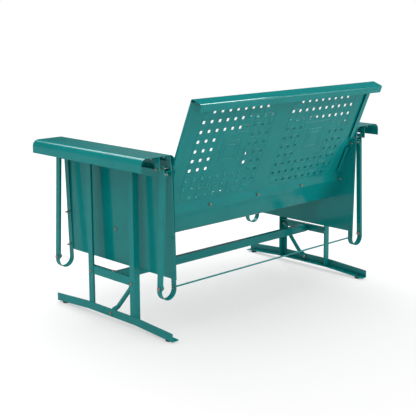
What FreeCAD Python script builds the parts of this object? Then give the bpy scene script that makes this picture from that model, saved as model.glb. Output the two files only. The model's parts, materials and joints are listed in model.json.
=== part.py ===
"""Two-seat porch glider bench in folded and perforated sheet steel.

A standing frame of angle iron carries four flat swing links. The seat hangs from the lower
ends of the links by four hairpin straps, and glides to the front and rear.

Millimetres. +Z is up, +X is the sitter's left and the sitter looks along -Y. The origin is on
the floor under the middle of the bench's outline.
"""
import FreeCAD
import Part
import math
import os

# Overall sizes
overall_width = 1262.0
foot_rail_length = 656.0
back_top_height = 820.0
back_recline = 23.1

# Sheet and bar stock
sheet = 1.5
angle_wall = 2.5
strap_width = 22.0
strap_thickness = 3.0
link_width = 20.0
link_thickness = 4.5

# Arms: channels that open downwards
arm_width = 145.5
arm_past_pivot_front = 11.0
arm_past_pivot_rear = 17.0
arm_over_rail = 54.0
arm_outer_lip = 47.0
arm_inner_lip = 38.0
arm_radius = 22.0

# Side panels lean outwards towards their top
panel_bottom = 203.0
panel_past_pivot_front = 14.0
panel_past_pivot_rear = 11.5
panel_lean = 0.0199
panel_top_drop = 24.0
panel_flange = 8.5
panel_to_arm_gap = 0.2

# Pivots of the glide, and the clearances between the moving layers
pivot_front_y = -301.0
pivot_rear_y = 281.0
pivot_low_z = 184.0
link_length = 383.0
pivot_diameter = 8.0
running_clearance = 0.05
open_pivot_clearance = 0.40
layer_gap = 1.5
link_joggle = 14.0
link_to_rail_gap = 2.4

# Hairpin straps
strap_foot_drop = 10.5
strap_bottom_width = 67.0
strap_top_width = 36.4
strap_top_gap = 5.0
strap_end_margin = 12.0
long_bolt_over_rail = 8.0
strap_bolt_low_z = 222.0
strap_bolt_high_z = 348.0

# Standing frame
upright_y = 130.0
upright_size = 25.0
rail_height = 26.0
rail_flange = 20.0
rail_end_margin = 11.0
foot_rail_height = 29.0
foot_rail_lift = 17.5
foot_flat_past_upright = 5.0
foot_end_drop = 11.8
pad_margin = 33.0
pad_diameter = 24.0
crossbar_top = 184.0
crossbar_bolt_drop = 21.0
crossbar_height = 30.5
crossbar_flange = 15.0
spacer_length = 9.0
brace_diameter = 16.0
brace_flat = 3.2
brace_margin = 9.0
stretcher_y = 15.0
stretcher_height = 31.0
stretcher_flange = 20.0

# Back and seat sheets
roll_depth = 42.5
roll_fall = 16.0
roll_lip = 26.0
edge_fold = 7.0
edge_return = 22.0
edge_from_roll = 8.0
edge_from_skirt = 14.0
side_tab = 22.0
side_tab_down = 272.0
side_tab_half = 20.0
side_tab_corner = 6.0
skirt_top = 437.0
skirt_fold = 409.0
skirt_bottom = 394.0
skirt_slope = 0.498
seat_rear_fold_z = 324.5
seat_front_top = 394.0
seat_from_panel_front = 3.0
seat_apron = 72.0
seat_gap = 0.3
joint_gap = 0.05

# Perforation of the back and the seat
hole_size = 11.5
hole_corner = 2.5
hole_pitch = 37.43
field_inner_x = 56.5
field_outer_margin = 80.0
back_first_row = 56.6
back_last_margin = 20.0
seat_end_margin = 70.0
plain_centre = 4

# Fasteners: across flats, head height, nut height
M6 = {"d": 6.0, "af": 10.0, "head": 4.0, "nut": 5.0}
M8 = {"d": 8.0, "af": 13.0, "head": 5.3, "nut": 6.5}
pivot_bolt = {"d": pivot_diameter, "af": pivot_diameter + 5.0, "head": 5.3, "nut": 6.5}
corner_chamfer = math.radians(30)
hole_clearance = 0.5
snug = 0.1

# Places that follow from the sizes above
half_width = overall_width / 2
pivot_top_z = pivot_low_z + link_length
rail_top = pivot_top_z + rail_height / 2
arm_top_height = rail_top + arm_over_rail
long_bolt_z = rail_top + long_bolt_over_rail
arm_front = pivot_front_y - arm_past_pivot_front
arm_rear = pivot_rear_y + arm_past_pivot_rear
panel_front = pivot_front_y - panel_past_pivot_front
panel_rear = pivot_rear_y + panel_past_pivot_rear
seat_front_y = panel_front + seat_from_panel_front
arm_in = half_width - arm_width
arm_lip_z = arm_top_height - arm_inner_lip
panel_x = (arm_in + 2 * sheet + panel_to_arm_gap) - panel_lean * (arm_lip_z - panel_bottom)
foot_half = foot_rail_length / 2
foot_flat_half = upright_y + foot_flat_past_upright
pad_y = foot_half - pad_margin
foot_slope = foot_end_drop / (foot_half - foot_flat_half)
recline = math.radians(back_recline)


def panel_face(z):
    """Outer face of the leaning side panel at a height."""
    return panel_x + panel_lean * (z - panel_bottom)


def line_through(z0, x0, z1, x1):
    """X as a straight-line function of Z."""
    return lambda z: x0 + (x1 - x0) * (z - z0) / (z1 - z0)


strap_centre_z = pivot_low_z - strap_foot_drop
strap_in = line_through(panel_bottom, panel_face(panel_bottom) + 0.1,
                        long_bolt_z, panel_face(long_bolt_z) + strap_top_gap)
strap_out = line_through(strap_centre_z, strap_in(strap_centre_z) + strap_bottom_width,
                         long_bolt_z, strap_in(long_bolt_z) + strap_top_width)
link_out_low = strap_out(pivot_low_z) - strap_thickness - layer_gap
link_out_top = strap_out(pivot_top_z) - strap_thickness - layer_gap
web_out = link_out_top - link_thickness - link_to_rail_gap
web_in = web_out - angle_wall
upright_out = web_out + spacer_length + angle_wall
foot_web_out = upright_out + angle_wall
crossbar_out = upright_out - angle_wall
crossbar_in = crossbar_out - angle_wall
back_half = panel_face(skirt_bottom) - sheet - seat_gap
seat_half = panel_face(seat_rear_fold_z - 20) - sheet - seat_gap

# Back sheet: rear face line, from its top fold down along the recline
top_fold = (376.7 + (back_top_height - 820.0) * math.tan(recline), back_top_height)


def on_back(down, out=0.0):
    """Point (y, z) on the rear face of the back, a distance down from the top fold."""
    y = top_fold[0] - down * math.sin(recline) + out * math.cos(recline)
    z = top_fold[1] - down * math.cos(recline) - out * math.sin(recline)
    return y, z


skirt_y = on_back((back_top_height - skirt_top) / math.cos(recline))[0]
skirt_end_y = skirt_y - skirt_slope * (skirt_fold - skirt_bottom)
roll_rear = (top_fold[0] + roll_depth, top_fold[1] - roll_fall)
roll_end = (roll_rear[0] - 9.0, roll_rear[1] - roll_lip + 2.0)


def vec(x, y, z):
    return FreeCAD.Vector(x, y, z)


def box(x0, x1, y0, y1, z0, z1):
    return Part.makeBox(x1 - x0, y1 - y0, z1 - z0, vec(x0, y0, z0))


def cylinder(start, axis, radius, length):
    return Part.makeCylinder(radius, length, vec(*start), vec(*axis))


def ring(start, axis, outer, inner, length):
    return cylinder(start, axis, outer, length).cut(cylinder(start, axis, inner, length))


def mirror_x(shape):
    """The same piece for the sitter's right."""
    return shape.mirror(vec(0, 0, 0), vec(1, 0, 0))


def offset_path(points, distance):
    """Polyline moved sideways by a distance, with mitred corners."""
    moved = []
    last = len(points) - 1
    for i, (a, b) in enumerate(points):
        normals = []
        for j in (i - 1, i):
            if 0 <= j < last:
                da = points[j + 1][0] - points[j][0]
                db = points[j + 1][1] - points[j][1]
                size = math.hypot(da, db)
                normals.append((-db / size, da / size))
        na = sum(n[0] for n in normals)
        nb = sum(n[1] for n in normals)
        scale = distance / ((na * na + nb * nb) / len(normals))
        moved.append((a + na * scale, b + nb * scale))
    return moved


def round_centre(points, i, radius):
    """Centre of the arc that rounds one corner of a polyline."""
    corner = FreeCAD.Vector(*points[i], 0)
    before = (FreeCAD.Vector(*points[i - 1], 0) - corner).normalize()
    after = (FreeCAD.Vector(*points[i + 1], 0) - corner).normalize()
    half = before.getAngle(after) / 2
    centre = corner + (before + after).normalize() * (radius / math.sin(half))
    return centre.x, centre.y


def rounded_edges(points, radii, place):
    """Edges of a polyline whose inner corners are rounded with arcs."""
    edges = []
    start = FreeCAD.Vector(*place(*points[0]))
    for i in range(1, len(points) - 1):
        corner = vec(*place(*points[i]))
        before = (vec(*place(*points[i - 1])) - corner).normalize()
        after = (vec(*place(*points[i + 1])) - corner).normalize()
        half = before.getAngle(after) / 2
        reach = radii[i - 1] / math.tan(half)
        enter = corner + before * reach
        leave = corner + after * reach
        bisector = (before + after).normalize()
        middle = corner + bisector * (radii[i - 1] / math.sin(half) - radii[i - 1])
        edges.append(Part.makeLine(start, enter))
        edges.append(Part.Arc(enter, middle, leave).toShape())
        start = leave
    edges.append(Part.makeLine(start, vec(*place(*points[-1]))))
    return edges


def folded(points, radius, thickness, place, sweep):
    """Folded strip: a polyline of one face, thickened to its left and swept.

    The radius is the inside radius of every fold, or a list with one for each.
    """
    radii = radius if isinstance(radius, list) else [radius] * (len(points) - 2)
    inner = offset_path(points, thickness)
    turns = []
    for i in range(1, len(points) - 1):
        ax = points[i][0] - points[i - 1][0]
        ay = points[i][1] - points[i - 1][1]
        bx = points[i + 1][0] - points[i][0]
        by = points[i + 1][1] - points[i][1]
        turns.append(ax * by - ay * bx)
    grow = abs(thickness)
    outside = [(t > 0) == (thickness > 0) for t in turns]
    outer_radii = [r + grow if o else r for r, o in zip(radii, outside)]
    inner_radii = [r if o else r + grow for r, o in zip(radii, outside)]
    outer_edges = rounded_edges(points, outer_radii, place)
    inner_edges = rounded_edges(inner, inner_radii, place)
    ends = [Part.makeLine(vec(*place(*points[-1])), vec(*place(*inner[-1]))),
            Part.makeLine(vec(*place(*inner[0])), vec(*place(*points[0])))]
    wire = Part.Wire(Part.__sortEdges__(outer_edges + inner_edges + ends))
    return Part.Face(wire).extrude(vec(*sweep))


def in_xz(y):
    return lambda x, z: (x, y, z)


def in_yz(x):
    return lambda y, z: (x, y, z)


def flat_shape(points, place, sweep):
    """Straight-sided outline, swept."""
    corners = [vec(*place(*p)) for p in points]
    return Part.Face(Part.makePolygon(corners + corners[:1])).extrude(vec(*sweep))


def hexagon(start, axis, flats, length):
    """Hexagonal prism along an axis that is X, Y or Z, with its far corners turned off."""
    radius = flats / math.sqrt(3)
    corners = []
    for k in range(7):
        a = radius * math.cos(math.radians(60 * k + 30))
        b = radius * math.sin(math.radians(60 * k + 30))
        offset = {"x": (0, a, b), "y": (a, 0, b), "z": (a, b, 0)}[main_axis(axis)]
        corners.append(vec(*start) + vec(*offset))
    prism = Part.Face(Part.makePolygon(corners)).extrude(vec(*axis) * length)
    face_radius = 0.475 * flats
    base_radius = face_radius + length / math.tan(corner_chamfer)
    return prism.common(Part.makeCone(base_radius, face_radius, length, vec(*start), vec(*axis)))


def main_axis(axis):
    return "xyz"[max(range(3), key=lambda i: abs(axis[i]))]


def along(start, axis, distance):
    return tuple(s + a * distance for s, a in zip(start, axis))


def bolt_set(head_at, axis, size, grip, tail, dome=False):
    """Bolt with its head at a point, and its nut at the far end of the grip."""
    radius = size["d"] / 2
    back = tuple(-a for a in axis)
    if dome:
        head_height = 0.22 * size["af"]
        head = cylinder(head_at, back, 0.72 * size["af"], head_height)
        rim = [e for e in head.Edges if e.Curve.TypeId == "Part::GeomCircle"
               and abs((e.CenterOfMass - vec(*head_at)).Length - head_height) < 0.01]
        head = head.makeFillet(0.7 * head_height, rim)
    else:
        head = hexagon(head_at, back, size["af"], size["head"])
    length = grip + size["nut"] + tail
    bolt = head.fuse(cylinder(head_at, axis, radius, length)).removeSplitter()
    nut_at = along(head_at, axis, grip)
    nut = hexagon(nut_at, axis, size["af"], size["nut"])
    nut = nut.cut(cylinder(nut_at, axis, radius + 0.1, size["nut"]))
    return [bolt, nut]


def hole(at, axis, diameter, depth=20.0):
    """Cutter for a round hole, half its depth to each side of a point."""
    return cylinder(along(at, axis, -depth / 2), axis, diameter / 2, depth)


def export(name, shapes):
    """Write one sub-part; several solids stay a group."""
    solids = []
    for shape in shapes:
        solids.extend(shape.Solids)
    result = solids[0] if len(solids) == 1 else Part.makeCompound(solids)
    result = result.copy()
    result.translate(vec(0, y_shift, 0))
    result.exportStep(os.path.join("parts", name + ".step"))
    print(name, len(solids), "solid", "valid" if result.isValid() else "NOT VALID")


def both_sides(name, shape):
    """Write a left piece and its mirrored right piece."""
    export(name + "_left", [shape])
    export(name + "_right", [mirror_x(shape)])


def all_corners(solids):
    """Solids of the left, then the same ones mirrored to the right."""
    return solids + [mirror_x(s) for s in solids]


# Standing frame

def foot_rail():
    """Angle iron on edge; both ends fall gently to the floor."""
    web = foot_web_out
    low = foot_rail_lift
    profile = [(web - foot_rail_height, low), (web, low), (web, low + foot_rail_height),
               (web - angle_wall, low + foot_rail_height), (web - angle_wall, low + angle_wall),
               (web - foot_rail_height, low + angle_wall)]
    middle = flat_shape(profile, in_xz(-foot_flat_half), (0, 2 * foot_flat_half, 0))
    run = foot_half - foot_flat_half
    rear = flat_shape(profile, in_xz(foot_flat_half), (0, run, -foot_end_drop))
    front = flat_shape(profile, in_xz(-foot_flat_half), (0, -run, -foot_end_drop))
    rail = middle.fuse([rear, front]).removeSplitter()
    rail = rail.cut(hole((web, 0.0, brace_low_z), (1, 0, 0), M6["d"] + hole_clearance))
    for y in (-pad_y, pad_y):
        rail = rail.cut(hole((pad_x, y, low), (0, 0, 1), pad_stem + snug, 60.0))
    return rail


rail_bolt_y = upright_y - upright_size / 2
brace_low_z = 32.0
pad_x = foot_web_out - foot_rail_height / 2
pad_stem = 8.0


def foot_pad(y):
    """Rubber foot: pad under the flange, stem through it and a button on top."""
    under = foot_rail_lift - foot_slope * (abs(y) - foot_flat_half)
    side = 1 if y > 0 else -1
    reach = pad_diameter
    slope = foot_slope * side

    def slab(bottom, height):
        outline = [(y - reach, bottom + slope * reach), (y + reach, bottom - slope * reach),
                   (y + reach, bottom - slope * reach + height),
                   (y - reach, bottom + slope * reach + height)]
        return flat_shape(outline, in_yz(pad_x - reach), (2 * reach, 0, 0))

    pad = cylinder((pad_x, y, 0), (0, 0, 1), pad_diameter / 2, under + 4.0)
    pad = pad.cut(slab(under, 40.0))
    stem = cylinder((pad_x, y, under - 3.0), (0, 0, 1), pad_stem / 2, angle_wall + 5.0)
    button = cylinder((pad_x, y, under), (0, 0, 1), 7.0, angle_wall + 3.0)
    button = button.cut(slab(under - 40.0, 40.0 + angle_wall))
    return pad.fuse([stem, button])


def upright(side):
    """Angle iron post, welded to the foot rail; its outboard flange runs on as a tab."""
    far = side * upright_y
    near = side * (upright_y - upright_size)
    inner = side * (upright_y - angle_wall)
    foot = foot_rail_lift + angle_wall + 0.5
    tab = box(upright_out - angle_wall, upright_out, min(near, far), max(near, far),
              foot, rail_top)
    cheek = box(upright_out - upright_size, upright_out, min(inner, far), max(inner, far),
                foot, rail_top - rail_height)
    post = tab.fuse(cheek).removeSplitter()
    bolts = [(crossbar_bolt_z, crossbar_bolt_y, M6), (pivot_top_z, rail_bolt_y, M8)]
    for z, y, size in bolts:
        post = post.cut(hole((upright_out, side * y, z), (1, 0, 0), size["d"] + hole_clearance))
    return post


crossbar_bolt_z = crossbar_top - crossbar_bolt_drop
crossbar_bolt_y = upright_y - 15.0
crossbar_half = upright_y - angle_wall - 0.5


def crossbar():
    """Angle iron between the two posts, with its flange on top, turned inboard."""
    web = box(crossbar_in, crossbar_out, -crossbar_half, crossbar_half,
              crossbar_top - crossbar_height, crossbar_top)
    flange = box(crossbar_in - crossbar_flange + angle_wall, crossbar_out,
                 -crossbar_half, crossbar_half, crossbar_top - angle_wall, crossbar_top)
    bar = web.fuse(flange).removeSplitter()
    for y in (-crossbar_bolt_y, crossbar_bolt_y):
        bar = bar.cut(hole((crossbar_out, y, crossbar_bolt_z), (1, 0, 0),
                           M6["d"] + hole_clearance))
    return bar.cut(hole((stretcher_bolt_x, stretcher_bolt_y, crossbar_top), (0, 0, 1),
                        M6["d"] + hole_clearance))


stretcher_bolt_x = crossbar_in - 6.0
stretcher_bolt_y = stretcher_y - stretcher_flange / 2 - 1.5
stretcher_top = crossbar_top - angle_wall


def brace():
    """Round tube with flattened, drilled ends, from the rear post down to the foot rail."""
    run = vec(0, crossbar_bolt_y, crossbar_bolt_z - brace_low_z)
    length = run.Length
    tab = 26.0
    taper = 16.0
    width = brace_diameter * math.pi / 2 * 0.8
    tilt = math.degrees(math.atan2(run.y, run.z))

    def lens(x_mid, half_x, half_y, z):
        """Closed outline at a height on the tube: a rectangle with rounded ends."""
        side = min(half_x, half_y)
        straight = half_y - side * 0.98
        p = [vec(x_mid - half_x, -straight, z), vec(x_mid - half_x, straight, z),
             vec(x_mid + half_x, straight, z), vec(x_mid + half_x, -straight, z)]
        return Part.Wire([
            Part.makeLine(p[0], p[1]),
            Part.Arc(p[1], vec(x_mid, straight + side, z), p[2]).toShape(),
            Part.makeLine(p[2], p[3]),
            Part.Arc(p[3], vec(x_mid, -straight - side, z), p[0]).toShape()])

    flat = brace_flat / 2
    x_low = upright_out - flat
    x_high = crossbar_in - flat
    radius = brace_diameter / 2
    x_tube = crossbar_in - radius - 0.5
    low_end = tab - brace_margin
    high_end = length - low_end
    outlines = [lens(x_low, flat, width / 2, -brace_margin),
                lens(x_low, flat, width / 2, low_end),
                lens(x_tube, radius, radius, low_end + taper),
                lens(x_tube, radius, radius, high_end - taper),
                lens(x_high, flat, width / 2, high_end),
                lens(x_high, flat, width / 2, length + brace_margin)]
    parts = [Part.makeLoft([a, b], True, True) for a, b in zip(outlines, outlines[1:])]
    tube = parts[0].fuse(parts[1:]).removeSplitter()
    for x, z in ((x_low, 0.0), (x_high, length)):
        tube = tube.cut(hole((x, 0, z), (1, 0, 0), M6["d"] + hole_clearance))
    tube.rotate(vec(0, 0, 0), vec(1, 0, 0), -tilt)
    tube.translate(vec(0, 0, brace_low_z))
    room = box(0, foot_web_out, -foot_flat_half, upright_y - angle_wall - 0.5,
               foot_rail_lift + angle_wall + 0.5, crossbar_top - angle_wall - 0.5)
    return tube.common(room)


def top_rail():
    """Angle iron under the arm, from which the links hang."""
    front = pivot_front_y - rail_end_margin
    rear = pivot_rear_y + rail_end_margin
    web = box(web_in, web_out, front, rear, rail_top - rail_height, rail_top)
    flange = box(web_out - rail_flange, web_out, front, rear, rail_top - angle_wall, rail_top)
    rail = web.fuse(flange).removeSplitter()
    for y in (pivot_front_y, pivot_rear_y):
        rail = rail.cut(hole((web_out, y, pivot_top_z), (1, 0, 0), bush_outer))
    for y in (-rail_bolt_y, rail_bolt_y):
        rail = rail.cut(hole((web_out, y, pivot_top_z), (1, 0, 0), M8["d"] + hole_clearance))
    return rail


bush_outer = pivot_diameter + 4.0
bush_collar = pivot_diameter + 8.0
bush_end = web_in - 1.0


def rail_bush(y):
    """Flanged bearing bush, pressed into the top rail from outboard."""
    bore = pivot_diameter / 2 + running_clearance
    collar = link_to_rail_gap - 1.0
    at = (bush_end, y, pivot_top_z)
    sleeve = cylinder(at, (1, 0, 0), bush_outer / 2, web_out - bush_end)
    rim = cylinder((web_out, y, pivot_top_z), (1, 0, 0), bush_collar / 2, collar)
    through = cylinder(at, (1, 0, 0), bore, web_out - bush_end + collar)
    return sleeve.fuse(rim).cut(through)


def stretcher():
    """Angle iron that joins the two end frames, under their crossbars."""
    end = crossbar_in - 1.5
    web = box(-end, end, stretcher_y - angle_wall, stretcher_y,
              stretcher_top - stretcher_height, stretcher_top)
    flange = box(-end, end, stretcher_y - stretcher_flange, stretcher_y,
                 stretcher_top - angle_wall, stretcher_top)
    bar = web.fuse(flange).removeSplitter()
    for x in (-stretcher_bolt_x, stretcher_bolt_x):
        bar = bar.cut(hole((x, stretcher_bolt_y, stretcher_top), (0, 0, 1),
                           M6["d"] + hole_clearance))
    return bar


def frame_fasteners():
    """Bolt sets and spacers of the standing frame, for both ends."""
    inward = (-1, 0, 0)
    cross, spacers, rails = [], [], []
    for y in (-rail_bolt_y, rail_bolt_y):
        start = (web_out, y, pivot_top_z)
        spacers.append(ring(start, (1, 0, 0), 7.0, M8["d"] / 2 + 0.2, spacer_length))
        rails += bolt_set((upright_out, y, pivot_top_z), inward, M8,
                          upright_out - web_in, 1.0)
    low = bolt_set((foot_web_out, 0.0, brace_low_z), inward, M6, angle_wall + brace_flat, 2.0)
    for y in (-crossbar_bolt_y, crossbar_bolt_y):
        grip = 2 * angle_wall + (brace_flat if y > 0 else 0.0)
        cross += bolt_set((upright_out, y, crossbar_bolt_z), inward, M6, grip, 2.0)
    middle = bolt_set((stretcher_bolt_x, stretcher_bolt_y, crossbar_top), (0, 0, -1), M6,
                      2 * angle_wall, 18.0, dome=True)
    export("brace_bolts", low + half_turn(low))
    export("crossbar_bolts", cross + half_turn(cross))
    export("stretcher_bolts", middle + [mirror_x(s) for s in middle])
    export("rail_spacers", all_corners(spacers))
    export("rail_bolts", all_corners(rails))


def half_turn(solids):
    """Copies turned by half a turn about the vertical middle line."""
    turned = []
    for solid in solids:
        copy = solid.copy()
        copy.rotate(vec(0, 0, 0), vec(0, 0, 1), 180)
        turned.append(copy)
    return turned


# Swing links

def swing_link(y):
    """Flat bar whose two ends stand upright, joined by a leaning run."""
    half = link_width / 2
    low = link_out_low - link_thickness
    high = link_out_top - link_thickness
    line = [(low, pivot_low_z - half), (low, pivot_low_z + link_joggle),
            (high, pivot_top_z - link_joggle), (high, pivot_top_z + half)]
    bar = folded(line, 8.0, -link_thickness, in_xz(y - half), (0, link_width, 0))
    ends = [cylinder((low - 10, y, z), (1, 0, 0), half, 60.0)
            for z in (pivot_low_z, pivot_top_z)]
    run = box(low - 30, low + 50, y - half, y + half, pivot_low_z, pivot_top_z)
    bar = bar.common(run.fuse(ends))
    bar = bar.cut(hole((low, y, pivot_low_z), (1, 0, 0), link_bush_outer))
    return bar.cut(hole((high, y, pivot_top_z), (1, 0, 0), pivot_diameter + snug))


link_bush_outer = pivot_diameter + 4.0
pin_end = bush_end - 9.5


def link_pin(y):
    """Bearing pin, riveted flush into the link's top, with its locking nut inboard."""
    at = (pin_end, y, pivot_top_z)
    pin = cylinder(at, (1, 0, 0), pivot_diameter / 2, link_out_top - pin_end)
    height = pivot_bolt["nut"]
    nut_at = (bush_end - 0.5 - height, y, pivot_top_z)
    nut = hexagon(nut_at, (1, 0, 0), pivot_bolt["af"], height)
    nut = nut.cut(cylinder(nut_at, (1, 0, 0), pivot_diameter / 2, height))
    return [pin, nut]


def link_bush(y, clearance):
    """Plain bush pressed into the link's lower end."""
    at = (link_out_low - link_thickness, y, pivot_low_z)
    return ring(at, (1, 0, 0), link_bush_outer / 2, pivot_diameter / 2 + clearance,
                link_thickness)


# Seat frame

def lean_with_panel(shape):
    """Turn a piece drawn on an upright panel to the panel's lean."""
    leaning = shape.copy()
    leaning.rotate(vec(panel_x, 0, panel_bottom), vec(0, 1, 0),
                   math.degrees(math.atan(panel_lean)))
    return leaning


def side_panel():
    """Flat side sheet, with its top folded outboard under the arm."""
    top = arm_top_height - panel_top_drop
    line = [(panel_x - sheet, panel_bottom), (panel_x - sheet, top),
            (panel_x - sheet + panel_flange, top)]
    panel = folded(line, 2.0, -sheet, in_xz(panel_front), (0, panel_rear - panel_front, 0))
    panel = lean_with_panel(panel)
    across = (1, 0, 0)
    loose = M6["d"] + hole_clearance
    spots = [(pivot_front_y, strap_bolt_low_z), (pivot_front_y, strap_bolt_high_z),
             (middle_rail_y, middle_bolt_z), (pivot_front_y, long_bolt_z),
             (pivot_rear_y, long_bolt_z), (pivot_rear_y, strap_bolt_low_z),
             (pivot_rear_y, strap_bolt_high_z)]
    spots += back_bolt_spots
    for y, z in spots:
        panel = panel.cut(hole((panel_face(z), y, z), across, loose))
    return panel


middle_rail_y = -25.0
middle_bolt_z = 327.0
back_bolt_spots = [on_back(side_tab_down, side_tab / 2),
                   (skirt_y + side_tab / 2 + 1.0, skirt_fold + 4.0)]
carriage_height = 0.22 * M6["af"]


def strap(y, front):
    """Hairpin of flat bar round one swing link."""
    z_top = long_bolt_z + strap_end_margin
    z_low = strap_centre_z
    t = strap_thickness
    xi, xo = strap_in(z_low), strap_out(z_low)
    middle = (xi + xo) / 2
    radius = (xo - xi) / 2
    place = in_xz(y - strap_width / 2)

    def at(x, z):
        return vec(*place(x, z))

    edges = [
        Part.makeLine(at(strap_in(z_top), z_top), at(xi, z_low)),
        Part.Arc(at(xi, z_low), at(middle, z_low - radius), at(xo, z_low)).toShape(),
        Part.makeLine(at(xo, z_low), at(strap_out(z_top), z_top)),
        Part.makeLine(at(strap_out(z_top), z_top), at(strap_out(z_top) - t, z_top)),
        Part.makeLine(at(strap_out(z_top) - t, z_top), at(xo - t, z_low)),
        Part.Arc(at(xo - t, z_low), at(middle, z_low - radius + t), at(xi + t, z_low)).toShape(),
        Part.makeLine(at(xi + t, z_low), at(strap_in(z_top) + t, z_top)),
        Part.makeLine(at(strap_in(z_top) + t, z_top), at(strap_in(z_top), z_top))]
    body = Part.Face(Part.Wire(edges)).extrude(vec(0, strap_width, 0))
    across = (1, 0, 0)
    loose = M6["d"] + hole_clearance
    body = body.cut(hole((middle, y, long_bolt_z), across, loose, 120.0))
    body = body.cut(hole((xo, y, pivot_low_z), across, pivot_diameter + 0.2, 20.0))
    for z in (strap_bolt_low_z, strap_bolt_high_z):
        body = body.cut(hole((strap_in(z), y, z), across, loose, 12.0))
    if not front:
        body = body.cut(hole((strap_in(tie_rod_z), y, tie_rod_z), across,
                             tie_rod_diameter + 0.4, 12.0))
    return body


tie_rod_z = 177.0
tie_rod_diameter = 6.0
bracket_wall = 2.5
bracket_bend = 12.0
bracket_wing = 600.0 / 631.0
bracket_foot = rail_top + 1.5


def arm_bracket(y):
    """Bridge on the long bolt that carries the arm: two legs and a top wing."""
    place = in_xz(y - strap_width / 2)
    sweep = (0, strap_width, 0)
    inner = strap_in(long_bolt_z) + strap_thickness + 1.0
    outer = bracket_out - bracket_wall
    top = arm_top_height - sheet - 0.05
    line = [(inner, bracket_foot), (inner, top), (half_width * bracket_wing, top)]
    body = folded(line, bracket_bend, -bracket_wall, place, sweep)
    leg = box(outer, bracket_out, y - strap_width / 2, y + strap_width / 2,
              bracket_foot, top - bracket_wall / 2)
    body = body.fuse(leg).removeSplitter()
    body = body.cut(hole((outer, y, long_bolt_z), (1, 0, 0), M6["d"] + hole_clearance, 160.0))
    for x in stud_xs:
        body = body.cut(hole((x, y, top), (0, 0, 1), stud_diameter + hole_clearance, 12.0))
    return body


bracket_out = strap_out(long_bolt_z) + 20.0
stud_diameter = 5.0
stud_xs = (bracket_out - 30.0, bracket_out + 26.0)


def arm():
    """Folded channel with rounded corners; studs under it pass through the brackets."""
    top = arm_top_height
    line = [(half_width, top - arm_outer_lip), (half_width, top), (arm_in, top),
            (arm_in, top - arm_inner_lip)]
    body = folded(line, arm_radius, sheet, in_xz(arm_front), (0, arm_rear - arm_front, 0))
    studs = [cylinder((x, y, top - sheet - 11.0), (0, 0, 1), stud_diameter / 2, 11.5)
             for x in stud_xs for y in (pivot_front_y, pivot_rear_y)]
    return body.fuse(studs)


def arm_nuts():
    """Flange nuts on the arm studs, under the brackets."""
    nuts = []
    z = arm_top_height - sheet - bracket_wall - 4.6
    for x in stud_xs:
        for y in (pivot_front_y, pivot_rear_y):
            body = hexagon((x, y, z), (0, 0, 1), 8.0, 4.5)
            rim = cylinder((x, y, z + 3.3), (0, 0, 1), 5.5, 1.2)
            nuts.append(body.fuse(rim).cut(cylinder((x, y, z), (0, 0, 1), 2.6, 4.5)))
    return nuts


# Seat and back sheets

def holes_that_fit(start, end):
    """How many holes stand at one pitch from a first place to a last one."""
    return int((end - start) / hole_pitch) + 1


def perforation(first_row, rows, surface):
    """Cutters for the rounded square holes of both fields, on a tilted surface."""
    half = hole_size / 2
    depth = 12.0
    square = Part.makeBox(hole_size, hole_size, depth, vec(-half, -half, -depth / 2))
    square = square.makeFillet(hole_corner, [e for e in square.Edges
                                             if abs(e.tangentAt(e.FirstParameter).z) > 0.99])
    columns = holes_that_fit(field_inner_x, back_half - field_outer_margin)
    plain_rows = range((rows - plain_centre) // 2, (rows + plain_centre) // 2)
    plain_columns = range((columns - plain_centre) // 2, (columns + plain_centre) // 2)
    cutters = []
    for row in range(rows):
        for column in range(columns):
            corner = row in (0, rows - 1) and column in (0, columns - 1)
            if corner or (row in plain_rows and column in plain_columns):
                continue
            for side in (-1, 1):
                x = side * (field_inner_x + column * hole_pitch)
                y, z, tilt = surface(first_row + row * hole_pitch)
                cutter = square.copy()
                cutter.rotate(vec(0, 0, 0), vec(1, 0, 0), tilt)
                cutter.translate(vec(x, y, z))
                cutters.append(cutter)
    return cutters


back_line = [(skirt_end_y, skirt_bottom), (skirt_y, skirt_fold), (skirt_y, skirt_top),
             top_fold, roll_rear, roll_end]
back_fold = 4.0

# Everything is drawn about the middle of the foot rails, then moved to centre the outline
roll_radius = back_fold + sheet
rear_most = round_centre(offset_path(back_line, sheet), 4, roll_radius)[0] + roll_radius
y_shift = (foot_half - rear_most) / 2


def back_panel():
    """Reclined sheet with a rolled top, a folded skirt and edges folded over to the rear."""
    body = folded(back_line, back_fold, sheet, in_yz(-back_half), (2 * back_half, 0, 0))
    length = (back_top_height - skirt_top) / math.cos(recline)
    for side in (-1, 1):
        body = body.fuse(folded_edge(side, length))

    def surface(down):
        y, z = on_back(down, -sheet / 2)
        return y, z, 90.0 - back_recline

    rows = holes_that_fit(back_first_row, length - back_last_margin)
    body = body.cut(perforation(back_first_row, rows, surface))
    for y, z in back_bolt_spots:
        body = body.cut(hole((0, y, z), (1, 0, 0), M6["d"] + hole_clearance, 3 * back_half))
    return cut_joint_holes(body)


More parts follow.
